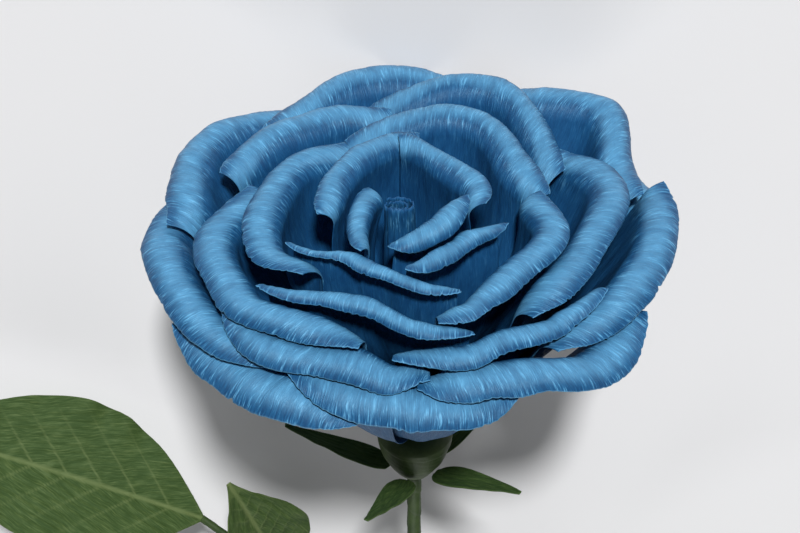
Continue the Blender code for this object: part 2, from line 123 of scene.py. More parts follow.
# Petals from the inside out: centre and half width in degrees, reach of the rim at five places,
# height of the crest at three, radius of the roll and how far it turns past the crest in degrees
PETALS = {
    "petal_bud": (150, 168, (5.2, 5.6, 6.0, 6.5, 7.4), (70.5, 72, 71), 1.2, 30),
    "petal_01": (302, 60, (13.5, 12.0, 11.2, 11.2, 11.5), (67.5, 70.5, 71), 3.2, 80),
    "petal_02": (190, 42, (12.0, 13.5, 15.0, 17.0, 19.0), (68, 70, 69), 2.9, 72),
    "petal_03": (305, 42, (20.0, 17.3, 15.8, 15.7, 20.0), (69, 68.5, 68), 2.9, 75),
    "petal_04": (50, 50, (15.0, 17.5, 18.4, 19.4, 22.5), (69, 70, 70), 3.6, 62),
    "petal_05": (138, 50, (24.0, 24.0, 23.0, 22.3, 21.5), (68.5, 70, 69), 3.6, 62),
    "petal_06": (245, 46, (29.5, 22.0, 20.5, 22.5, 25.8), (67, 67, 66), 2.0, 68),
    "petal_07": (328, 50, (29.5, 28.5, 29.5, 33.3, 29.0), (64, 65.5, 65), 4.4, 62),
    "petal_08": (170, 47, (28.5, 35.0, 36.0, 35.8, 29.0), (66.5, 67, 65), 4.7, 62),
    "petal_09": (250, 40, (39.0, 31.6, 29.3, 33.8, 34.8), (63.5, 64, 62.5), 2.8, 68),
    "petal_10": (70, 52, (30.0, 34.5, 40.5, 36.5, 30.0), (63.5, 67, 65.5), 4.9, 62),
    "petal_11": (205, 46, (39.0, 47.5, 44.6, 40.1, 36.8), (62, 62.5, 60), 5.5, 62),
    "petal_12": (128, 30, (41.0, 46.0, 48.0, 48.5, 47.0), (63, 64.5, 63), 5.2, 62),
    "petal_13": (70, 36, (41.0, 50.0, 58.5, 54.0, 44.0), (59, 63, 62), 5.5, 62),
    "petal_14": (0, 44, (34.0, 38.5, 43.5, 51.0, 46.5), (58, 63, 61.5), 5.5, 62),
    "petal_15": (300, 38, (36.8, 38.0, 37.6, 39.5, 43.2), (59, 60.5, 61), 3.8, 62),
    "petal_16": (240, 34, (46.0, 48.0, 42.5, 38.8, 36.5), (58.5, 59, 56), 5.2, 62),
    "petal_17": (46, 28, (54.0, 59.0, 68.5, 65.0, 58.0), (58.5, 61, 56.5), 6.5, 62),
    "petal_18": (103, 30, (56.0, 62.0, 63.0, 56.5, 52.0), (56, 61, 59), 6.0, 62),
    "petal_19": (144, 32, (54.0, 61.0, 63.5, 59.0, 54.5), (57, 61, 59.5), 6.0, 62),
    "petal_20": (196, 34, (55.0, 57.0, 56.3, 52.0, 43.5), (56.5, 59, 54), 6.0, 62),
    "petal_21": (348, 33, (40.0, 44.5, 51.5, 57.0, 60.0), (54, 58.5, 59), 6.0, 62),
    "petal_22": (306, 36, (36.0, 41.5, 48.0, 53.0, 52.0), (55.5, 57.5, 54), 6.5, 62),
    "petal_23": (266, 34, (43.5, 46.0, 45.5, 46.5, 44.5), (54.5, 56, 53), 7.0, 62),
    "petal_24": (229, 30, (55.0, 54.5, 52.0, 49.0, 44.5), (51, 53.5, 51), 7.3, 62),
    "petal_25": (39, 26, (57.0, 59.0, 59.0, 57.0, 54.0), (50.5, 51.5, 50), 5.7, 62),
}

# Leaves: the foot of each stalk, the points its stalk passes and its leaflets, each with the share
# of the stalk where it sits, its direction, the way it faces, length, width and taper of its ends
LEAVES = {
    "leaf_left": {
        "foot_z": -112.0,
        "foot_angle": 180,
        "stalk": ((-12, 4, -90), (-34, 13, -75), (-56, 21, -60)),
        "leaflets": {
            "end": (1.0, (-46, 2, 22), (0.15, -0.5, 0.85), 84, 40, 1.15),
            "lower": (0.6, (-22, -26, -46), (-0.2, -0.85, 0.3), 60, 32, 1.3),
            "upper": (0.68, (-7, -12, 42), (0.45, -0.75, 0.3), 46, 25, 1.3),
        },
    },
    "leaf_right": {
        "foot_z": -160.0,
        "foot_angle": 0,
        "stalk": ((12, -1, -138), (30, -5, -123), (46, -9, -110)),
        "leaflets": {
            "end": (1.0, (52, -8, 36), (-0.2, -0.75, 0.65), 74, 38, 1.1),
            "lower": (0.68, (34, -20, -40), (0.1, -0.9, 0.2), 56, 30, 1.3),
            "upper": (0.6, (-6, -20, 44), (0.3, -0.8, -0.4), 52, 28, 1.3),
        },
    },
}

# Grid that the petals are laid on, as in the solids
ANGLE_STEP = 1.5
HEIGHT_STEP = 0.5
GRID_MARGIN = 6.0
PROFILE_STEPS = 160
BODY_SHARE = 0.72
EASE_ACROSS = 0.91
EASE_ALONG = 0.965
DEEPEST_TUCK = 12.0
TUCK_STEP = 0.5
TUCK_WEIGHT = 0.9

# Fineness of the crepe surfaces
CREPE_COLUMN = 0.55
FEWEST_COLUMNS = 60
COLUMN_CROWDING = math.radians(72)
BODY_ROWS = 34
ROLL_ROWS = 30

# Life in the paper: kinks of the rim and waves of its roll, each as a size and a number of bends
KINK_REACH = (0.35, 7)
KINK_LIFT = (0.3, 6)
TURN_SWING = (0.08, 6)
ROLL_SWING = (0.08, 5)

# Ripples of the paper, each with its pitch across the grain, its length along it and its height.
# An unbroken one doesn't change along the grain. Each kind mixes waves of nearby pitch.
UNBROKEN = 1e6
WAVE = (5.0, 40.0, 0.035)
CRINKLE = (1.5, 12.0, 0.022)
BUCKLE = (17.0, 40.0, 0.1)
FRAY = (1.6, UNBROKEN, 0.07)
NICK = (3.0, UNBROKEN, 1.0)
WANDER = (16.0, UNBROKEN, 0.16)
BUD_FRAY = (2.2, UNBROKEN, 0.12)
BUD_CRINKLE = (1.6, 25.0, 0.04)
SEPAL_CRINKLE = (1.4, 20.0, 0.07)
LEAF_WAVE = (13.0, UNBROKEN, 0.45)
LEAF_CRINKLE = (2.2, 22.0, 0.08)
WAVES_MIXED = 14
PITCH_SPREAD = (0.6, 1.7)

# Rippled share at a petal's foot, and where along the petal the ripples grow
QUIET_FOOT = 0.35
RIPPLES_GROW = (0.15, 0.8)

# Frayed rim: how rare and how deep its nicks are, and the last share of a petal that frays
NICK_RARITY = 1.6
NICK_DEPTH = 0.5
FRAYED_SHARE = 0.1

# Marks of the paper: how far apart pieces are cut from it, and the rim's share in its measure
# across. Going in from the rim, painted shade darkens the wall at shares of the way to the crest.
# A painted highlight peaks one place short of it, rising and falling in shares of its distance.
CUT_APART = 173.0
SEPALS_APART = 31.0
RIM_SHARE = 0.55
WALL_FROM = 1.05
WALL_FULL = 1.5
WALL_EASING = 6.0
WALL_DEPTH = 0.9
CREST_PLACE = 0.85
CREST_RISE = (0.15, 0.85)
CREST_FALL = (1.15, 1.9)
CREST_EASING = 1.0

# Where the bud leans to
BUD_LEAN = (-3.9, 0.3)
BUD_LEAN_FROM = 28.0
BUD_LEAN_TO = 66.0

# The bud's tight roll: its turns, radii with their growth in one turn, and where it draws in
BUD_TURNS = 1.8
BUD_START = math.radians(200)
BUD_FOOT_ROOM = 0.6
BUD_FOOT_GROWTH = 0.5
BUD_TOP_RADIUS = 1.6
BUD_TOP_GROWTH = 1.35
BUD_DRAWS_IN = (0.62, 0.93)
BUD_MIDDLE_RADIUS = 4.2

# The bud's rim: height, slant at a radius, drop of its inner end, and its lip
BUD_TOP_Z = 69.0
BUD_SLANT = (1.5, 3.9)
BUD_DROP = 0.8
BUD_LIP_FROM = 0.975
BUD_LIP = 0.3

# Wound tape: step at the edge of a turn on the cup and the stem, the cup's turn, the edge's share
# of a turn, how much of the step is lost across it, and the height of its ripples
CUP_TAPE_STEP = 0.35
CUP_TAPE_TURN = 6.0
STEM_TAPE_STEP = 0.22
TAPE_EDGE = 0.12
TAPE_FALL = 0.75
TAPE_RIPPLE = 0.05

# Leaf stalks and bands: turn of a stalk's tape, its sunk and raised parts, turns and step of a band
STALK_TAPE_TURN = 5.0
STALK_TAPE_SINK = 0.06
STALK_TAPE_STEP = 0.14
BAND_TURNS = 2.4
BAND_STEP = 0.3

# Leaflets: veins on each side, their slope and their height
LEAF_VEINS = 9
VEIN_SLOPE = 1.1
VEIN_HEIGHT = 0.35

# Pattern of the crepe: pitch across its grain, length along it in mm, detail and roughness
GRAIN_BEND = (7.0, 9.0, 2.0, 0.5)
GRAIN_BEND_SIZE = 2.4
RIDGES = (0.36, 4.5, 3.0, 0.6)
FIBRES = (0.16, 1.1, 2.0, 0.6)
BANDS = (2.4, 7.0, 4.0, 0.62)

# Share of the broad bands in the crepe's tone, painted highlight of its crest, width in mm and
# painted highlight of its rim, swing of its roughness and share of the fibres in its relief
BANDS_OUTSIDE = 0.35
BANDS_INSIDE = 0.72
CREST_HIGHLIGHT = (0.34, 0.6)
RIM_EDGE = 0.25
RIM_HIGHLIGHT = 0.6
ROUGH_SWING = 0.08
FIBRE_RELIEF = 0.3

# Camera, fitted to the photograph, and the lamps with their strength and spread
CAMERA_ELEVATION = math.radians(43)
CAMERA_DISTANCE = 450.0
FOCAL_PX = 2055.0
PICTURE_WIDTH_PX = 800
BLOOM_OFF_MIDDLE_PX = (16, 17.5)
AIM_Z = 56
SENSOR_WIDTH = 36.0
KEY_LAMP = (3.9, math.radians(6))
FILL_LAMP = (1.3, math.radians(40))
ROOM_LIGHT = 0.12


def laid_down():
    """The turn and place of the lying rose, read from where its straight wire is."""
    turn = Matrix.Rotation(REST_TILT - math.pi / 2, 3, 'X') @ Matrix.Rotation(REST_ROLL, 3, 'Z')
    low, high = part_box("stem_wire")
    wire_end = STEM_TOP - STEM_LENGTH - WIRE_SHOWING
    middle = Vector((0.0, 0.0, (wire_end + WIRE_INTO_CORE + BLOOM_BASE_Z) / 2 * MM))
    return Matrix.Translation((low + high) / 2 - turn @ middle) @ turn.to_4x4()


RESTING = laid_down()


def placed(name, bm, look):
    """Put a shape into the scene."""
    mesh = bpy.data.meshes.new(name)
    bm.to_mesh(mesh)
    bm.free()
    mesh.materials.append(look)
    piece = bpy.data.objects.new(name, mesh)
    bpy.context.scene.collection.objects.link(piece)
    return piece


def finished(name, bm, look, node):
    """Lay a shape down with the rose and make it a smooth piece that rides on the part."""
    bmesh.ops.transform(bm, matrix=RESTING, verts=bm.verts)
    for vert in bm.verts:
        vert.co.z = max(vert.co.z, PAPER / 2 * MM)
    piece = placed(name, bm, look)
    piece.data.shade_smooth()
    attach(piece, "root")
    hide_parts(node)
    return piece


def finished_sheet(name, points, marks, wall, look, node):
    """A sheet of paper through rows of points, with marks: place on the paper, and painted shade on
    a wall or painted highlight on a crest.
    """
    rows, columns = points.shape[:2]
    bm = bmesh.new()
    bmesh.ops.create_grid(bm, x_segments=columns - 1, y_segments=rows - 1, size=1.0)
    on_paper = bm.verts.layers.float_vector.new("paper")
    inside = bm.verts.layers.float.new("inside")
    for vert, point, mark in zip(bm.verts, points.reshape(-1, 3), marks.reshape(-1, 4)):
        vert.co = point * MM
        vert[on_paper] = mark[:3]
        vert[inside] = mark[3]
    piece = finished(name, bm, look, node)
    solid = piece.modifiers.new("paper", 'SOLIDIFY')
    solid.thickness = wall * MM
    solid.offset = 0.0


def bezier(start, start_pull, end_pull, end, share):
    """Points of a cubic curve at the given shares of its parameter."""
    rest = 1.0 - share
    return (rest ** 3 * start + 3 * rest ** 2 * share * start_pull
            + 3 * rest * share ** 2 * end_pull + share ** 3 * end)


def through(values, across):
    """A smooth curve through evenly spaced values, read at places from -1 to 1."""
    values = np.array(values, dtype=float)
    padded = np.concatenate((values[:1], values, values[-1:]))
    place = (across + 1) / 2 * (len(values) - 1)
    index = np.clip(np.floor(place).astype(int), 0, len(values) - 2)
    share = place - index
    before, start, end, after = (padded[index + offset] for offset in range(4))
    slope_in = (end - before) / 2
    slope_out = (after - start) / 2
    return (start * (1 + 2 * share) * (1 - share) ** 2 + slope_in * share * (1 - share) ** 2
            + end * share ** 2 * (3 - 2 * share) - slope_out * share ** 2 * (1 - share))


def eased_step(low, high, value):
    """A smooth step from 0 at low to 1 at high."""
    share = np.clip((value - low) / (high - low), 0.0, 1.0)
    return share * share * (3 - 2 * share)


def petal_profile(across, along, spec, depth, tuck=0.0, life=None):
    """Radius and height of a petal's middle surface before it is laid against the others."""
    rim_radii, crest_heights, roll, turn = spec[2:]
    run_out = 1.0 - np.abs(across) ** ROLL_RUN_OUT
    reach_more = lift = 0.0
    if life:
        roll = roll * life["roll"](across)
        turn = turn * life["turn"](across)
        reach_more = life["reach"](across)
        lift = life["lift"](across)
    crest_r = through(rim_radii, across) + reach_more
    crest_r = crest_r - roll * run_out * np.sin(np.radians(np.minimum(turn, 90)))
    bend = (crest_heights[0] + crest_heights[2]) / 2 - crest_heights[1]
    slant = (crest_heights[2] - crest_heights[0]) / 2
    crest_z = crest_heights[1] + slant * across + bend * across ** 2 - tuck + lift
    foot_r = CORE_RADIUS + CLEARANCE + PAPER
    foot_z = INNER_FOOT_Z + (BLOOM_BASE_Z - INNER_FOOT_Z) * depth
    slope = INNER_FOOT_SLOPE + (OUTER_FOOT_SLOPE - INNER_FOOT_SLOPE) * depth
    entry = INNER_ROLL_ENTRY + (OUTER_ROLL_ENTRY - INNER_ROLL_ENTRY) * depth
    entry_r = crest_r - roll * math.sin(entry)
    entry_z = crest_z - roll * (1 - math.cos(entry))
    reach = np.hypot(entry_r - foot_r, entry_z - foot_z)
    body = np.minimum(along / BODY_SHARE, 1.0)
    body_r = bezier(foot_r, foot_r + FOOT_PULL * reach * math.cos(slope),
                    entry_r - RIM_PULL * reach * math.cos(entry), entry_r, body)
    body_z = bezier(foot_z, foot_z + FOOT_PULL * reach * math.sin(slope),
                    entry_z - RIM_PULL * reach * math.sin(entry), entry_z, body)
    sweep = entry + np.radians(turn) * run_out
    angle = sweep * np.maximum(along - BODY_SHARE, 0.0) / (1 - BODY_SHARE) - entry
    roll_r = crest_r + roll * np.sin(angle)
    roll_z = crest_z - roll * (1 - np.cos(angle))
    on_body = along <= BODY_SHARE
    return np.where(on_body, body_r, roll_r), np.where(on_body, body_z, roll_z)


def petal_angles(across, along, spec):
    """Angles round the stem in degrees. A petal narrows towards its foot."""
    centre, half = spec[:2]
    spread = np.minimum(along / FOOT_TAPER_END, 1.0)
    return centre + half * across * (FOOT_WIDTH_SHARE + (1 - FOOT_WIDTH_SHARE) * spread)


def eased(push, axis, keep):
    """Let a push fade in both directions along one axis instead of ending in a step."""
    push = np.moveaxis(push.copy(), axis, 0)
    for i in range(1, len(push)):
        push[i] = np.maximum(push[i], push[i - 1] * keep)
    for i in range(len(push) - 2, -1, -1):
        push[i] = np.maximum(push[i], push[i + 1] * keep)
    return np.moveaxis(push, 0, axis)


def kept_round(push, along):
    """Move a petal's whole roll as far as its most pushed point, so that it stays round."""
    roll = along[0] >= BODY_SHARE
    push[:, roll] = push[:, roll].max(axis=1, keepdims=True)
    return push


class Bloom:
    """How far out the petals reach so far, by angle round the stem and height."""

    def __init__(self):
        turns = round(360 / ANGLE_STEP)
        highest = max(max(spec[3]) for spec in PETALS.values())
        self.lowest = BLOOM_BASE_Z - GRID_MARGIN
        heights = round((highest + GRID_MARGIN - self.lowest) / HEIGHT_STEP)
        self.reach = np.full((turns, heights), CORE_RADIUS + PAPER / 2)

    def cells(self, angle, height):
        """Row and column of each point in the table."""
        turns, heights = self.reach.shape
        row = np.round(angle / ANGLE_STEP).astype(int) % turns
        column = np.round((height - self.lowest) / HEIGHT_STEP).astype(int)
        return row, np.clip(column, 1, heights - 2)

    def around(self, angle, height):
        """The widest reach in each point's cell and the cells round it."""
        row, column = self.cells(angle, height)
        turns = len(self.reach)
        found = self.reach[row, column]
        for aside in (-1, 0, 1):
            for above in (-1, 0, 1):
                found = np.maximum(found, self.reach[(row + aside) % turns, column + above])
        return found

    def push_for(self, spec, depth, across, along, tuck):
        """How far each point of a petal must move out to clear the petals inside it."""
        radius, height = petal_profile(across, along, spec, depth, tuck)
        angle = petal_angles(across, along, spec) + 0 * radius
        room = PAPER + CLEARANCE + FACET_ALLOWANCE
        return kept_round(np.maximum(self.around(angle, height) + room - radius, 0.0), along)

    def lay(self, spec, depth):
        """Lay a petal over the ones inside it, its rim tucked under theirs where that is nearer."""
        count = int(2 * spec[1] / ANGLE_STEP) + 2
        across = np.linspace(-1, 1, count)[:, None]
        along = np.linspace(0, 1, PROFILE_STEPS)[None, :]
        tucks = np.arange(0.0, DEEPEST_TUCK, TUCK_STEP)
        costs = [self.push_for(spec, depth, across, along, tuck)[:, -1] + TUCK_WEIGHT * tuck
                 for tuck in tucks]
        tuck = tucks[np.argmin(costs, axis=0)][:, None]
        tuck = eased(tuck, 0, EASE_ACROSS)
        push = self.push_for(spec, depth, across, along, tuck)
        push = kept_round(eased(eased(push, 1, EASE_ALONG), 0, EASE_ACROSS), along)
        radius, height = petal_profile(across, along, spec, depth, tuck)
        angle = petal_angles(across, along, spec) + 0 * radius
        np.maximum.at(self.reach, self.cells(angle, height), radius + push)
        return tuck, push


def softened(table, times):
    """Smooth a table across its rows and columns."""
    for _ in range(times):
        padded = np.pad(table, 1, mode="edge")
        table = (padded[1:-1, 1:-1] * 2 + padded[:-2, 1:-1] + padded[2:, 1:-1]
                 + padded[1:-1, :-2] + padded[1:-1, 2:]) / 6
    return table


def sampled(table, across, along):
    """Values of a table over a petal at other places, by straight interpolation."""
    rows = (across + 1) / 2 * (table.shape[0] - 1)
    columns = np.clip(along, 0, 1) * (table.shape[1] - 1)
    low_row = np.minimum(rows.astype(int), table.shape[0] - 2)
    low_column = np.minimum(columns.astype(int), table.shape[1] - 2)
    by_row = rows - low_row
    by_column = columns - low_column
    first = (table[low_row, low_column] * (1 - by_column)
             + table[low_row, low_column + 1] * by_column)
    second = (table[low_row + 1, low_column] * (1 - by_column)
              + table[low_row + 1, low_column + 1] * by_column)
    return first * (1 - by_row) + second * by_row


def swing(chance, size, waves):
    """A smooth wandering line across a petal, around zero."""
    knots = chance.uniform(-size, size, waves)
    return lambda across: through(knots, across)


def kinked(chance, size, corners):
    """A line of straight runs and rounded corners across a petal, around zero."""
    places = np.linspace(-1, 1, corners) + chance.uniform(-0.5, 0.5, corners) / corners
    places[0], places[-1] = -1.0, 1.0
    heights = chance.uniform(-size, size, corners)
    return lambda across: np.interp(across, places, heights)


def crinkles(across_mm, along_mm, chance, ripple):
    """Long narrow ripples along the paper's grain, from many waves of nearby pitch."""
    pitch, length, size = ripple
    total = np.zeros_like(across_mm)
    for _ in range(WAVES_MIXED):
        fine = math.tau / (pitch * chance.uniform(*PITCH_SPREAD))
        slow = math.tau / length * chance.uniform(-1.0, 1.0)
        total += np.sin(across_mm * fine + along_mm * slow + chance.uniform(0, math.tau))
    return total / math.sqrt(WAVES_MIXED / 2) * size


def normals_of(points):
    """Unit normals of a grid of points."""
    down = np.gradient(points, axis=0)
    aside = np.gradient(points, axis=1)
    normal = np.cross(aside, down)
    return normal / np.maximum(np.linalg.norm(normal, axis=-1, keepdims=True), 1e-9)


def arc_lengths(points, axis):
    """Distance along the grid lines of one axis, in millimetres."""
    steps = np.linalg.norm(np.diff(points, axis=axis), axis=-1)
    zero = np.zeros_like(np.take(steps, [0], axis=axis))
    return np.cumsum(np.concatenate((zero, steps), axis=axis), axis=axis)


def petal_rows():
    """Places along a petal, closer together in its roll."""
    body = np.linspace(0, BODY_SHARE, BODY_ROWS, endpoint=False)
    return np.concatenate((body, np.linspace(BODY_SHARE, 1, ROLL_ROWS)))


def frayed_rim(rim_mm, chance):
    """How far the cut rim of a petal reaches past its even line, in millimetres."""
    even = 0 * rim_mm
    fray_mm = crinkles(rim_mm, even, chance, FRAY)
    nicks = crinkles(rim_mm, even, chance, NICK) + NICK_RARITY
    fray_mm += np.minimum(nicks, 0.0) * NICK_DEPTH
    return fray_mm + crinkles(rim_mm, even, chance, WANDER)


def painted_shade_and_highlight(edge_mm, crest_mm):
    """One mark per point: above 0 painted shade down the wall, below 0 a painted highlight on the
    crest.
    """
    wall = eased_step(crest_mm * WALL_FROM, crest_mm * WALL_FULL + WALL_EASING, edge_mm)
    bend_mm = crest_mm * CREST_PLACE
    rise = eased_step(bend_mm * CREST_RISE[0], bend_mm * CREST_RISE[1], edge_mm)
    fall = eased_step(bend_mm * CREST_FALL[0], bend_mm * CREST_FALL[1] + CREST_EASING, edge_mm)
    return wall * WALL_DEPTH - rise * (1 - fall)


def petal_surface(spec, depth, tuck, push, seed):
    """Points of a petal's crinkled middle surface, and the marks its paper pattern follows."""
    chance = np.random.default_rng(seed)
    half = spec[1]
    widest = max(spec[2])
    columns = int(math.radians(2 * half) * widest / CREPE_COLUMN)
    even = np.linspace(-1, 1, max(columns, FEWEST_COLUMNS))
    across_line = np.sin(even * COLUMN_CROWDING) / math.sin(COLUMN_CROWDING)
    life = {
        "reach": kinked(chance, *KINK_REACH),
        "lift": kinked(chance, *KINK_LIFT),
        "turn": lambda across, wave=swing(chance, *TURN_SWING): 1 + wave(across),
        "roll": lambda across, wave=swing(chance, *ROLL_SWING): 1 + wave(across),
    }
    across, along = np.meshgrid(across_line, petal_rows())
    fray_mm = frayed_rim(across * math.radians(half) * widest, chance)
    entry = INNER_ROLL_ENTRY + (OUTER_ROLL_ENTRY - INNER_ROLL_ENTRY) * depth
    roll_length = spec[4] * (entry + math.radians(spec[5]))
    frayed = np.maximum(along - (1 - FRAYED_SHARE), 0.0) / FRAYED_SHARE
    along = along * (1 + (1 - BODY_SHARE) * fray_mm / roll_length * frayed)
    tuck = np.interp(across, np.linspace(-1, 1, len(tuck)), tuck[:, 0])
    radius, height = petal_profile(across, along, spec, depth, tuck, life)
    radius = radius + sampled(push, across, along)
    angle = np.radians(petal_angles(across, along, spec))
    points = np.stack((radius * np.cos(angle), radius * np.sin(angle), height), axis=-1)
    along_mm = arc_lengths(points, 0)
    middle = across_line.size // 2
    across_full = arc_lengths(points, 1)
    across_full = across_full - across_full[:, middle:middle + 1]
    rim_line = across_full[-1:, :]
    across_mm = across_full * (1 - RIM_SHARE) + rim_line * RIM_SHARE
    grow = eased_step(*RIPPLES_GROW, along)
    coarse, fine, buckle = (crinkles(across_mm, along_mm, chance, ripple)
                            for ripple in (WAVE, CRINKLE, BUCKLE))
    shift = (coarse + fine) * (QUIET_FOOT + (1 - QUIET_FOOT) * grow) + buckle * grow
    points = points + normals_of(points) * shift[..., None]
    edge_mm = along_mm[-1:, :] - along_mm
    # Painted shade down the wall and a painted highlight on the crest
    inside = painted_shade_and_highlight(edge_mm, spec[4] * math.radians(spec[5]))
    marks = np.stack((across_mm + CUT_APART * (seed % 50), along_mm, edge_mm, inside), axis=-1)
    return points, marks


def add_petals(look):
    """Every petal but the bud, laid as the solids are and then crinkled."""
    bloom = Bloom()
    for place, (name, spec) in enumerate(PETALS.items()):
        if name == "petal_bud":
            continue
        depth = place / (len(PETALS) - 1)
        tuck, push = bloom.lay(spec, depth)
        push = softened(push, 6)
        points, marks = petal_surface(spec, depth, tuck, push, 100 + place)
        finished_sheet(f"crepe_{name}", points, marks, CREPE_WALL, look, name)


def lean(points):
    """Bend upright points over to where the bud leans."""
    share = eased_step(BUD_LEAN_FROM, BUD_LEAN_TO, points[..., 2])
    moved = points.copy()
    moved[..., 0] += BUD_LEAN[0] * share
    moved[..., 1] += BUD_LEAN[1] * share
    return moved


def add_bud(look):
    """The rolled heart of the rose: a strip of crepe wound round its core, frayed at the top."""
    chance = np.random.default_rng(7)
    across, along = np.meshgrid(np.linspace(0, 1, 320), np.linspace(0, 1, 60))
    angle = BUD_START + across * BUD_TURNS * math.tau
    foot = CORE_RADIUS + BUD_FOOT_ROOM + BUD_FOOT_GROWTH * across * BUD_TURNS
    top = BUD_TOP_RADIUS + BUD_TOP_GROWTH * across * BUD_TURNS
    radius = foot + (top - foot) * eased_step(*BUD_DRAWS_IN, along)
    slant, slant_reach = BUD_SLANT
    top_z = BUD_TOP_Z - slant * np.sin(angle) * radius / slant_reach - BUD_DROP * (1 - across)
    top_z = top_z + crinkles(angle * 4, 0 * angle, chance, BUD_FRAY)
    height = INNER_FOOT_Z + (top_z - INNER_FOOT_Z) * along
    lip = eased_step(BUD_LIP_FROM, 1.0, along)
    radius = radius - BUD_LIP * lip * (0.7 + 0.5 * np.sin(angle * 3 + 1))
    points = np.stack((radius * np.cos(angle), radius * np.sin(angle), height), axis=-1)
    across_mm = angle * BUD_MIDDLE_RADIUS
    along_mm = arc_lengths(points, 0)
    shift = crinkles(across_mm, along_mm, chance, BUD_CRINKLE)
    points = lean(points + normals_of(points) * shift[..., None])
    edge_mm = along_mm[-1:, :] - along_mm
    # Painted shade deeper down the rolled strip, and darker along its top edge
    inside = np.maximum(eased_step(3.0, 12.0, edge_mm), 1.0 - eased_step(0.0, 1.2, edge_mm))
    marks = np.stack((across_mm, along_mm, edge_mm + 1.0, inside), axis=-1)
    finished_sheet("crepe_bud", points, marks, CREPE_WALL, look, "petal_bud")


def turned(profile, sides=64):
    """A closed shape turned round the stem from a profile of radius and height pairs."""
    bm = bmesh.new()
    corners = [bm.verts.new((radius * MM, 0.0, height * MM)) for radius, height in profile]
    edges = [bm.edges.new((corners[i], corners[i - 1])) for i in range(len(corners))]
    bmesh.ops.spin(bm, geom=corners + edges, cent=(0, 0, 0), axis=(0, 0, 1),
                   angle=math.tau, steps=sides, use_merge=True)
    bmesh.ops.remove_doubles(bm, verts=bm.verts, dist=MERGE_DISTANCE)
    bmesh.ops.recalc_face_normals(bm, faces=bm.faces)
    return bm


def add_core(look):
    """The cotton core, hidden in the bud."""
    bore_top = BLOOM_BASE_Z + WIRE_INTO_CORE + CLEARANCE
    core = [(WIRE_BORE, BLOOM_BASE_Z), (CORE_RADIUS, BLOOM_BASE_Z)]
    core += [(CORE_RADIUS, height) for height in np.linspace(10, CORE_TOP_Z - CORE_DOME - 2, 8)]
    for turn in np.linspace(0, math.pi / 2, 6):
        core.append((CORE_RADIUS * math.cos(turn), CORE_TOP_Z - CORE_DOME * (1 - math.sin(turn))))
    core += [(0.0, bore_top), (WIRE_BORE, bore_top)]
    bm = turned(core, sides=32)
    for vert in bm.verts:
        leant = lean(np.array(vert.co) / MM)
        vert.co = leant * MM
    finished("cotton_bud_core", bm, look, "bud_core")


def calyx_radius(depth):
    """Outer radius of the calyx cup at a depth below its top."""
    swell = math.cos(max(depth - CALYX_RIM, 0.0) / (CALYX_HEIGHT - CALYX_RIM) * math.pi / 2)
    return TAPED_RADIUS + (CALYX_RADIUS - TAPED_RADIUS) * swell ** CALYX_FULLNESS


def winding(height, turn_height, angle):
    """Share of the way across the wound tape, 0 at its upper edge, at a height and angle."""
    return (height / turn_height + angle / math.tau) % 1.0


def wrapped(bm, tape_step, turn_height):
    """Raise the outside of a turned shape as overlapping turns of wound tape."""
    for vert in bm.verts:
        x, y, z = np.array(vert.co) / MM
        radius = math.hypot(x, y)
        if radius < WIRE_BORE + TAPE_WALL / 3:
            continue
        angle = math.atan2(y, x)
        share = winding(z, turn_height, angle)
        step = tape_step * (min(share / TAPE_EDGE, 1.0) * (1.0 - TAPE_FALL * share))
        ripple = TAPE_RIPPLE * math.sin(angle * 9 + z * 1.7) * math.sin(z * 2.3 + angle * 4)
        grown = (radius + step + ripple - tape_step * 0.5) / radius
        vert.co = Vector((x * grown, y * grown, z)) * MM


def add_calyx(green):
    """The swollen cup under the bloom, wound in tape."""
    cup = [(WIRE_BORE, CALYX_TOP), (CALYX_MOUTH_RADIUS * 0.5, CALYX_TOP),
           (CALYX_MOUTH_RADIUS, CALYX_TOP),
           ((CALYX_MOUTH_RADIUS + CALYX_RADIUS) / 2, CALYX_TOP - CALYX_RIM * 0.35)]
    for depth in np.linspace(CALYX_RIM, CALYX_HEIGHT, 70):
        cup.append((calyx_radius(depth), CALYX_TOP - depth))
    cup.append((WIRE_BORE, CALYX_TOP - CALYX_HEIGHT))
    bm = turned(cup, sides=96)
    wrapped(bm, CUP_TAPE_STEP, CUP_TAPE_TURN)
    finished("wound_calyx_cup", bm, green, "calyx_cup")


def add_stem(green):
    """The tape wound round the stem in overlapping turns."""
    end = STEM_TOP - STEM_LENGTH
    outside = [(TAPED_RADIUS, height) for height in np.linspace(end, STEM_TOP, 560)]
    bm = turned([(WIRE_BORE, end)] + outside + [(WIRE_BORE, STEM_TOP)], sides=36)
    wrapped(bm, STEM_TAPE_STEP, TAPE_TURN)
    finished("wound_stem_tape", bm, green, "stem_tape")


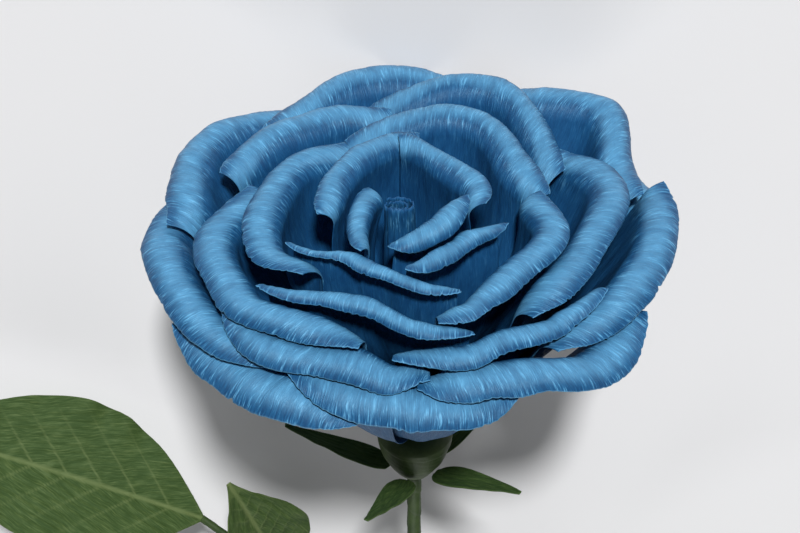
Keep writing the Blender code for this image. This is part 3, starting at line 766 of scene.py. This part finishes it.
def add_sepals(green):
    """Five narrow sepals that flare out from the cup's neck."""
    seat_z = CALYX_TOP - SEPAL_SEAT_DEPTH
    seat_r = calyx_radius(SEPAL_SEAT_DEPTH) + CLEARANCE + PAPER
    along = np.linspace(0, 1, 60)
    swell = np.sin(math.pi * along ** SEPAL_WIDE_LOW)
    width = SEPAL_END_WIDTH + (SEPAL_WIDTH - SEPAL_END_WIDTH) * swell
    aside = np.linspace(-0.5, 0.5, 21)[None, :] * width[:, None]
    for place in range(SEPAL_COUNT):
        chance = np.random.default_rng(40 + place)
        line_r = seat_r + SEPAL_REACH * bezier(0.0, *SEPAL_CURVE_OUT, 1.0, along)
        line_z = seat_z + SEPAL_RISE * bezier(0.0, *SEPAL_CURVE_UP, 1.0, along)
        curl = chance.uniform(-1.5, 2.0) * along ** 3
        turn = math.tau * (place + 0.5) / SEPAL_COUNT
        sway = chance.uniform(-2.0, 2.0) * along ** 2
        x = line_r[:, None] * math.cos(turn) - (aside + sway[:, None]) * math.sin(turn)
        y = line_r[:, None] * math.sin(turn) + (aside + sway[:, None]) * math.cos(turn)
        cupped = 0.10 * aside ** 2 / SEPAL_WIDTH * 4
        z = line_z[:, None] + curl[:, None] + cupped
        points = np.stack((x, y, z), axis=-1)
        out_mm = along[:, None] * (SEPAL_REACH + 4) + 0 * aside
        shift = crinkles(aside, out_mm, chance, SEPAL_CRINKLE)
        points = points + normals_of(points) * shift[..., None]
        edge = np.minimum(width[:, None] / 2 - np.abs(aside), out_mm[-1:] - out_mm)
        marks = np.stack((aside + place * SEPALS_APART, out_mm, edge, 0 * out_mm), axis=-1)
        name = f"sepal_{place + 1}"
        finished_sheet(f"crepe_{name}", points, marks, TAPE_SHEET, green, name)


def smooth_route(points, lead, steps):
    """Points of a smooth curve that leaves the first point along lead and passes the others."""
    line = []
    for i in range(len(points) - 1):
        start, end = points[i], points[i + 1]
        pull_in = (end - points[i - 1]) / 6 if i else lead / 3
        pull_out = (points[min(i + 2, len(points) - 1)] - start) / 6
        shares = np.arange(steps) / steps
        line += [bezier(start, start + pull_in, end - pull_out, end, share) for share in shares]
    line.append(points[-1])
    return line


def add_stalk(name, route, green):
    """A thin stalk wound in tape along its route, closed at both ends."""
    route = np.array(route)
    fine = np.linspace(0, len(route) - 1, 260)
    line = np.stack([np.interp(fine, np.arange(len(route)), route[:, axis])
                     for axis in range(3)], axis=-1)
    for _ in range(30):
        line[1:-1] = (line[:-2] + 2 * line[1:-1] + line[2:]) / 4
    length = arc_lengths(line[:, None, :], 0)[:, 0]
    tangent = np.gradient(line, axis=0)
    tangent /= np.linalg.norm(tangent, axis=-1, keepdims=True)
    aside = np.cross(tangent, (0.0, 1.0, 0.0))
    aside /= np.linalg.norm(aside, axis=-1, keepdims=True)
    upward = np.cross(aside, tangent)
    sides = 28
    bm = bmesh.new()
    bmesh.ops.create_grid(bm, x_segments=sides, y_segments=len(line) - 1, size=1.0)
    rounds = np.linspace(0, math.tau, sides + 1)
    share = winding(length[:, None], STALK_TAPE_TURN, rounds[None, :])
    raised = STALK_TAPE_STEP * np.minimum(share / 0.15, 1.0) * (1 - 0.8 * share)
    radius = STALK_RADIUS - STALK_TAPE_SINK + raised
    places = (line[:, None, :] + (radius * np.cos(rounds))[..., None] * aside[:, None, :]
              + (radius * np.sin(rounds))[..., None] * upward[:, None, :])
    for vert, place in zip(bm.verts, places.reshape(-1, 3)):
        vert.co = place * MM
    bmesh.ops.remove_doubles(bm, verts=bm.verts, dist=MERGE_DISTANCE)
    rims = [edge for edge in bm.edges if edge.is_boundary]
    bmesh.ops.holes_fill(bm, edges=rims)
    bmesh.ops.recalc_face_normals(bm, faces=bm.faces)
    finished(f"wound_{name}_stalk", bm, green, f"{name}_stalk")


def add_band(name, low, angle, offset, green):
    """Turns of tape round the stem and the foot of a leaf stalk beside it."""
    centres = np.array(((0.0, 0.0), (offset, 0.0)))
    radii = np.array((TAPED_RADIUS, STALK_RADIUS)) + CLEARANCE
    sides = 72
    bm = bmesh.new()
    rings = []
    for wall in (0.0, BAND_WALL):
        ring = []
        for normal_angle in np.linspace(0, math.tau, sides, endpoint=False):
            normal = np.array((math.cos(normal_angle), math.sin(normal_angle)))
            wider = int(np.argmax(centres @ normal + radii))
            x, y = centres[wider] + (radii[wider] + wall) * normal
            ring.append(bm.verts.new((x * MM, y * MM, low * MM)))
        rings.append(ring)
    inner, outer = rings
    for i in range(sides):
        bm.faces.new((inner[i - 1], inner[i], outer[i], outer[i - 1]))
    layers = 24
    top = list(bm.faces)
    for _ in range(layers):
        raised = bmesh.ops.extrude_face_region(bm, geom=top)
        corners = [item for item in raised["geom"] if isinstance(item, bmesh.types.BMVert)]
        top = [item for item in raised["geom"] if isinstance(item, bmesh.types.BMFace)]
        bmesh.ops.translate(bm, verts=corners, vec=(0, 0, BAND_WIDTH / layers * MM))
    middle = np.array((offset / 2, 0.0))
    for vert in bm.verts:
        x, y, z = np.array(vert.co) / MM
        away = np.array((x, y)) - middle
        reach = np.linalg.norm(away)
        turn = math.atan2(away[1], away[0])
        share = winding(z, BAND_WIDTH / BAND_TURNS, turn)
        clear = min(abs(np.linalg.norm(np.array((x, y)) - centre) - radius)
                    for centre, radius in zip(centres, radii))
        if clear > BAND_WALL * 0.6:
            grown = (reach + BAND_STEP * (0.6 - share)) / reach
            x, y = middle + away * grown
        vert.co = Vector((x, y, z)) * MM
    bmesh.ops.rotate(bm, verts=bm.verts, cent=(0, 0, 0), matrix=Matrix.Rotation(angle, 3, 'Z'))
    bmesh.ops.recalc_face_normals(bm, faces=bm.faces)
    finished(f"wound_{name}_tape_band", bm, green, f"{name}_tape_band")


def leaflet_surface(start, direction, face, length, width, sharpness, seed):
    """Points of a pointed oval blade creased along its midrib, and the marks of its paper."""
    chance = np.random.default_rng(seed)
    direction = Vector(direction).normalized()
    side = direction.cross(Vector(face)).normalized()
    normal = side.cross(direction)
    across, along = np.meshgrid(np.linspace(-1, 1, 81), np.linspace(0, 1, 130))
    swell = np.clip(np.sin(math.pi * along ** LEAF_WIDE_LOW), 0, 1) ** sharpness
    half = LEAF_END_WIDTH / 2 + (width - LEAF_END_WIDTH) / 2 * swell
    aside = across * half
    out = along * length
    lift = LEAF_CREASE * np.sqrt(aside ** 2 + 0.15) - LEAF_ARCH * length * along ** 2
    place = (out - np.abs(aside) * VEIN_SLOPE) * math.pi / (length / LEAF_VEINS)
    vein = 1 - np.abs(np.sin(place))
    beside = eased_step(0.0, 2.0, np.abs(aside)) * (1 - np.abs(across))
    lift += VEIN_HEIGHT * eased_step(0.0, 0.9, vein) * beside
    wave = crinkles(out, 0 * out, chance, LEAF_WAVE)
    fine = crinkles(out * 0.25 + np.abs(aside), out, chance, LEAF_CRINKLE)
    lift += wave * np.abs(across) ** 3 * swell + fine
    points = (np.array(start) + out[..., None] * np.array(direction)
              + aside[..., None] * np.array(side) + lift[..., None] * np.array(normal))
    ribs = np.maximum(eased_step(0.82, 1.0, vein) * (1 - np.abs(across)),
                      eased_step(0.9, 0.2, np.abs(aside)))
    marks = np.stack((out * 0.35 + np.abs(aside), out, half - np.abs(aside), ribs), axis=-1)
    return points, marks


def add_leaf(name, spec, green, leaf_green):
    """One leaf: its wound stalk, the tape that binds it to the stem and its three leaflets."""
    angle = math.radians(spec["foot_angle"])
    offset = TAPED_RADIUS + CLEARANCE + STALK_RADIUS
    foot = np.array((offset * math.cos(angle), offset * math.sin(angle), spec["foot_z"]))
    rise = np.array((0.0, 0.0, STALK_FOOT))
    points = [foot + rise] + [np.array(point, float) for point in spec["stalk"]]
    route = [foot, foot + rise / 2] + smooth_route(points, rise, 6)
    add_stalk(name, route, green)
    band_low = spec["foot_z"] + (STALK_FOOT - BAND_WIDTH) / 2
    add_band(name, band_low, angle, offset, green)
    for place_in, (part, (share, direction, face, *sizes)) in enumerate(spec["leaflets"].items()):
        place = round(share * (len(route) - 1))
        tangent = Vector(route[place] - route[place - 1]).normalized()
        aim = Vector(direction).normalized()
        if place == len(route) - 1:
            gap = -CLEARANCE
        else:
            gap = (STALK_RADIUS + CLEARANCE + LEAF_END_WIDTH / 2) / math.sin(aim.angle(tangent))
        start = route[place] + gap * np.array(aim)
        points, marks = leaflet_surface(start, direction, face, *sizes, 60 + place_in)
        solid = f"{name}_{part}_leaflet"
        finished_sheet(f"crepe_{solid}", points, marks, TAPE_SHEET, leaf_green, solid)


def node(tree, kind, place, **values):
    """Add a shader node with its settings and constant sockets."""
    made = tree.nodes.new(kind)
    made.location = place
    for name, value in values.items():
        if name in made.inputs:
            made.inputs[name].default_value = value
        else:
            setattr(made, name, value)
    return made


def ramp(tree, place, source, stops):
    """Colours or grey levels for an output, from a list of positions and their values."""
    made = node(tree, "ShaderNodeValToRGB", place)
    band = made.color_ramp
    while len(band.elements) < len(stops):
        band.elements.new(0.5)
    for element, (position, value) in zip(band.elements, stops):
        element.position = position
        colour = value if isinstance(value, tuple) else (value, value, value)
        element.color = (*colour, 1.0)
    tree.links.new(source, made.inputs[0])
    return made.outputs["Color"]


def scaled(tree, place, source, factors):
    """Multiply a vector output by one factor in each direction."""
    made = node(tree, "ShaderNodeVectorMath", place, operation='MULTIPLY')
    made.inputs[1].default_value = factors
    tree.links.new(source, made.inputs[0])
    return made.outputs[0]


def stretched_noise(tree, source, place, pitch, length, detail, rough):
    """Noise drawn out along the paper's grain: pitch across it and length along it, in mm."""
    on_grain = scaled(tree, (place[0] - 200, place[1]), source, (1 / pitch, 1 / length, 0.0))
    noise = node(tree, "ShaderNodeTexNoise", place, Scale=1.0, Detail=detail, Roughness=rough)
    tree.links.new(on_grain, noise.inputs["Vector"])
    return noise


def mixed(tree, place, factor, first, second):
    """Mix two colours, each given as an output or a constant."""
    made = node(tree, "ShaderNodeMix", place, data_type='RGBA')
    tree.links.new(factor, made.inputs[0])
    for socket, value in ((6, first), (7, second)):
        if hasattr(value, "links"):
            tree.links.new(value, made.inputs[socket])
        else:
            made.inputs[socket].default_value = (*value, 1.0)
    return made.outputs[2]


def blended(tree, place, share, first, second):
    """Mix two grey outputs, with the given share of the second."""
    made = node(tree, "ShaderNodeMix", place, data_type='FLOAT')
    made.inputs[0].default_value = share
    tree.links.new(first, made.inputs[2])
    tree.links.new(second, made.inputs[3])
    return made.outputs[0]


def ranged(tree, place, source, start, end, low=0.0, high=1.0):
    """Map an output that runs from start to end onto the range from low to high."""
    made = node(tree, "ShaderNodeMapRange", place)
    for socket, value in zip(("From Min", "From Max", "To Min", "To Max"), (start, end, low, high)):
        made.inputs[socket].default_value = value
    tree.links.new(source, made.inputs["Value"])
    return made.outputs[0]


def bumped(tree, shader, place, height, strength, size_mm):
    """Let an output stand out from the surface as fine relief."""
    bump = node(tree, "ShaderNodeBump", place, Strength=strength, Distance=size_mm * MM)
    tree.links.new(height, bump.inputs["Height"])
    tree.links.new(bump.outputs[0], shader.inputs["Normal"])


def new_look(name):
    """A new material with its node tree and its main shader."""
    made = bpy.data.materials.new(name)
    made.use_nodes = True
    return made, made.node_tree, made.node_tree.nodes["Principled BSDF"]


def crepe_look(name, deep, middle, pale, inner_deep, inner_pale, ridge, rough, gloss):
    """Crepe paper: fine ridges along its grain with painted shade in their grooves, painted shade
    down a wall, painted highlights on crest and rim.
    """
    made, tree, shader = new_look(name)
    shader.inputs["Specular IOR Level"].default_value = gloss
    shader.inputs["Specular Tint"].default_value = (0.55, 0.85, 1.0, 1.0)
    paper = node(tree, "ShaderNodeAttribute", (-1900, 0), attribute_name="paper").outputs["Vector"]
    apart = node(tree, "ShaderNodeSeparateXYZ", (-1700, -400))
    tree.links.new(paper, apart.inputs[0])
    bend = stretched_noise(tree, paper, (-1500, 300), *GRAIN_BEND)
    bent = scaled(tree, (-1300, 300), bend.outputs["Color"], (GRAIN_BEND_SIZE, 0.0, 0.0))
    grain = node(tree, "ShaderNodeVectorMath", (-1100, 200), operation='ADD')
    tree.links.new(bent, grain.inputs[0])
    tree.links.new(paper, grain.inputs[1])
    ridges, fibres, bands = (
        stretched_noise(tree, grain.outputs[0], (-700, level), *sizes).outputs["Fac"]
        for level, sizes in ((400, RIDGES), (100, FIBRES), (-200, BANDS)))
    # The ridge tops are painted paler and their grooves darker, painted shade that follows the
    # bumped ridges; the broad bands are random tone
    fine = ramp(tree, (-450, 400), ridges, [(0.38, 0.0), (0.54, 0.4), (0.72, 1.0)])
    broad = ramp(tree, (-450, -200), bands, [(0.33, 0.0), (0.7, 1.0)])
    tone = blended(tree, (-150, 100), BANDS_OUTSIDE, fine, broad)
    shades = ramp(tree, (0, 200), tone, [(0.15, deep), (0.48, middle), (0.85, pale)])
    mark = node(tree, "ShaderNodeAttribute", (-150, -1000), attribute_name="inside").outputs["Fac"]
    # Where the inside mark is above 0 the colour turns to a second one: painted shade down a
    # petal's wall, lighter veins on a leaf
    inner_tone = blended(tree, (0, -100), BANDS_INSIDE, fine, broad)
    darker = mixed(tree, (250, 0), inner_tone, inner_deep, inner_pale)
    settled = mixed(tree, (400, 200), mark, shades, darker)
    # Painted highlight along the crest, in patches that follow the broad bands
    crest_highlight = node(tree, "ShaderNodeMath", (400, -150), operation='MULTIPLY')
    tree.links.new(ranged(tree, (250, -150), mark, 0.0, -1.0), crest_highlight.inputs[0])
    tree.links.new(ranged(tree, (100, -250), broad, 0.0, 1.0, *CREST_HIGHLIGHT), crest_highlight.inputs[1])
    settled = mixed(tree, (480, 200), crest_highlight.outputs[0], settled, pale)
    # Painted highlight along the thin cut rim
    rim = ranged(tree, (0, -400), apart.outputs["Z"], RIM_EDGE, 0.0, 0.0, RIM_HIGHLIGHT)
    edge = tuple(channel * 1.1 for channel in pale)
    coloured = mixed(tree, (550, 200), rim, settled, edge)
    tree.links.new(coloured, shader.inputs["Base Color"])
    sheened = ranged(tree, (200, -200), tone, 0.0, 1.0, rough + ROUGH_SWING, rough - ROUGH_SWING)
    tree.links.new(sheened, shader.inputs["Roughness"])
    relief = node(tree, "ShaderNodeMath", (-200, -700), operation='MULTIPLY_ADD')
    relief.inputs[1].default_value = FIBRE_RELIEF
    tree.links.new(fibres, relief.inputs[0])
    tree.links.new(ridges, relief.inputs[2])
    bumped(tree, shader, (300, -300), relief.outputs[0], 1.0, ridge)
    return made


def tape_look(name, deep, pale, rough):
    """Waxed green tape: faint crepe lines that follow the piece, mottled, slightly sheened."""
    made, tree, shader = new_look(name)
    shader.inputs["Roughness"].default_value = rough
    shader.inputs["Specular IOR Level"].default_value = 0.3
    place = node(tree, "ShaderNodeTexCoord", (-1100, 0)).outputs["Object"]
    turn = node(tree, "ShaderNodeMapping", (-900, 0), Rotation=(0.5, 0.3, 0.6),
                Scale=(1.0, 0.25, 1.0))
    tree.links.new(place, turn.inputs["Vector"])
    lines = node(tree, "ShaderNodeTexNoise", (-650, 100), Scale=1600.0, Detail=3.0, Roughness=0.6)
    patches = node(tree, "ShaderNodeTexNoise", (-650, -200), Scale=220.0, Detail=3.0, Roughness=0.6)
    tree.links.new(turn.outputs[0], lines.inputs["Vector"])
    tree.links.new(place, patches.inputs["Vector"])
    shade = ramp(tree, (-400, -200), patches.outputs["Fac"], [(0.35, 0.0), (0.7, 1.0)])
    base = mixed(tree, (-150, 100), shade, deep, pale)
    tree.links.new(base, shader.inputs["Base Color"])
    bumped(tree, shader, (0, -300), lines.outputs["Fac"], 0.7, 0.12)
    return made


def cotton_look():
    """Pressed cotton, matt and slightly lumpy."""
    made, tree, shader = new_look("pressed_cotton")
    shader.inputs["Roughness"].default_value = 0.95
    place = node(tree, "ShaderNodeTexCoord", (-900, 0))
    lumps = node(tree, "ShaderNodeTexNoise", (-650, 0), Scale=500.0, Detail=4.0)
    tree.links.new(place.outputs["Object"], lumps.inputs["Vector"])
    shade = ramp(tree, (-400, 0), lumps.outputs["Fac"],
                 [(0.3, (0.42, 0.4, 0.34)), (0.7, (0.62, 0.6, 0.53))])
    tree.links.new(shade, shader.inputs["Base Color"])
    bumped(tree, shader, (0, -300), lumps.outputs["Fac"], 0.6, 0.2)
    return made


def wire_look():
    """Bare drawn steel wire with fine lines along it."""
    made, tree, shader = new_look("drawn_wire")
    shader.inputs["Metallic"].default_value = 1.0
    place = node(tree, "ShaderNodeTexCoord", (-1100, 0))
    along = node(tree, "ShaderNodeMapping", (-900, 0), Scale=(1.0, 0.05, 1.0))
    lines = node(tree, "ShaderNodeTexNoise", (-650, 0), Scale=4000.0, Detail=3.0)
    tree.links.new(place.outputs["Object"], along.inputs["Vector"])
    tree.links.new(along.outputs[0], lines.inputs["Vector"])
    shade = ramp(tree, (-400, 100), lines.outputs["Fac"],
                 [(0.3, (0.3, 0.3, 0.31)), (0.7, (0.5, 0.5, 0.51))])
    gloss = ramp(tree, (-400, -200), lines.outputs["Fac"], [(0.3, 0.3), (0.7, 0.5)])
    tree.links.new(shade, shader.inputs["Base Color"])
    tree.links.new(gloss, shader.inputs["Roughness"])
    return made


def add_studio():
    """A plain pale floor, soft light and the camera at the photograph's angle to the bloom."""
    bm = bmesh.new()
    bmesh.ops.create_grid(bm, x_segments=1, y_segments=1, size=3.0)
    paint, _, shader = new_look("pale_floor")
    shader.inputs["Base Color"].default_value = (0.68, 0.68, 0.69, 1)
    shader.inputs["Roughness"].default_value = 0.9
    floor = placed("pale_floor", bm, paint)

    toward = Vector((0, -math.cos(CAMERA_ELEVATION), math.sin(CAMERA_ELEVATION)))
    upward = Vector((0, math.sin(CAMERA_ELEVATION), math.cos(CAMERA_ELEVATION)))
    rightward = Vector((1, 0, 0))
    step = CAMERA_DISTANCE / FOCAL_PX
    off_right, off_up = BLOOM_OFF_MIDDLE_PX
    aim = Vector((0, 0, AIM_Z)) - rightward * off_right * step - upward * off_up * step
    place = (aim + toward * CAMERA_DISTANCE) * MM
    lens = bpy.data.cameras.new("camera")
    lens.sensor_width = SENSOR_WIDTH
    lens.lens = SENSOR_WIDTH * FOCAL_PX / PICTURE_WIDTH_PX
    lens.clip_start = 0.01
    lens.clip_end = 20.0
    camera = bpy.data.objects.new("camera", lens)
    bpy.context.scene.collection.objects.link(camera)
    held = Matrix((rightward, upward, toward)).transposed().to_4x4()
    camera.matrix_world = RESTING @ Matrix.Translation(place) @ held
    bpy.context.scene.camera = camera

    view = (RESTING.to_3x3() @ toward).normalized()
    image_up = (RESTING.to_3x3() @ upward).normalized()
    image_right = (RESTING.to_3x3() @ rightward).normalized()
    key_side = view + image_up * 0.25 + image_right * 0.06
    behind = Vector((-view.x, -view.y, 0.25))
    for name, direction, (strength, spread) in (
            ("key", key_side, KEY_LAMP), ("fill", behind, FILL_LAMP)):
        lamp = bpy.data.lights.new(name, 'SUN')
        lamp.energy = strength
        lamp.angle = spread
        made = bpy.data.objects.new(name, lamp)
        bpy.context.scene.collection.objects.link(made)
        made.rotation_mode = 'QUATERNION'
        made.rotation_quaternion = direction.to_track_quat('Z', 'Y')

    world = bpy.data.worlds.new("soft_room")
    world.use_nodes = True
    room = world.node_tree.nodes["Background"]
    room.inputs["Color"].default_value = (1, 1, 1, 1)
    room.inputs["Strength"].default_value = ROOM_LIGHT
    bpy.context.scene.world = world
    bpy.context.scene.view_settings.view_transform = 'Standard'


# The blue crepe's inner colours are the painted shade down a petal's wall
blue = crepe_look("blue_crepe", deep=(0.006, 0.052, 0.148), middle=(0.014, 0.1, 0.238),
                  pale=(0.13, 0.4, 0.66), inner_deep=(0.006, 0.055, 0.165),
                  inner_pale=(0.014, 0.105, 0.27), ridge=0.2, rough=0.45, gloss=0.45)
leaf_crepe = crepe_look("leaf_crepe", deep=(0.032, 0.058, 0.012), middle=(0.05, 0.082, 0.02),
                        pale=(0.085, 0.12, 0.036), inner_deep=(0.09, 0.125, 0.04),
                        inner_pale=(0.12, 0.155, 0.055), ridge=0.1, rough=0.7, gloss=0.2)
sepal_crepe = crepe_look("sepal_crepe", deep=(0.02, 0.042, 0.008), middle=(0.034, 0.062, 0.014),
                         pale=(0.055, 0.09, 0.024), inner_deep=(0.02, 0.042, 0.008),
                         inner_pale=(0.034, 0.062, 0.014), ridge=0.1, rough=0.75, gloss=0.2)
tape = tape_look("green_tape", deep=(0.02, 0.042, 0.008), pale=(0.042, 0.072, 0.018), rough=0.6)
add_petals(blue)
add_bud(blue)
add_core(cotton_look())
add_calyx(tape)
add_sepals(sepal_crepe)
add_stem(tape)
for leaf_name, leaf_spec in LEAVES.items():
    add_leaf(leaf_name, leaf_spec, tape, leaf_crepe)
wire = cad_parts["stem_wire"]
wire.data.materials.clear()
wire.data.materials.append(wire_look())
add_studio()
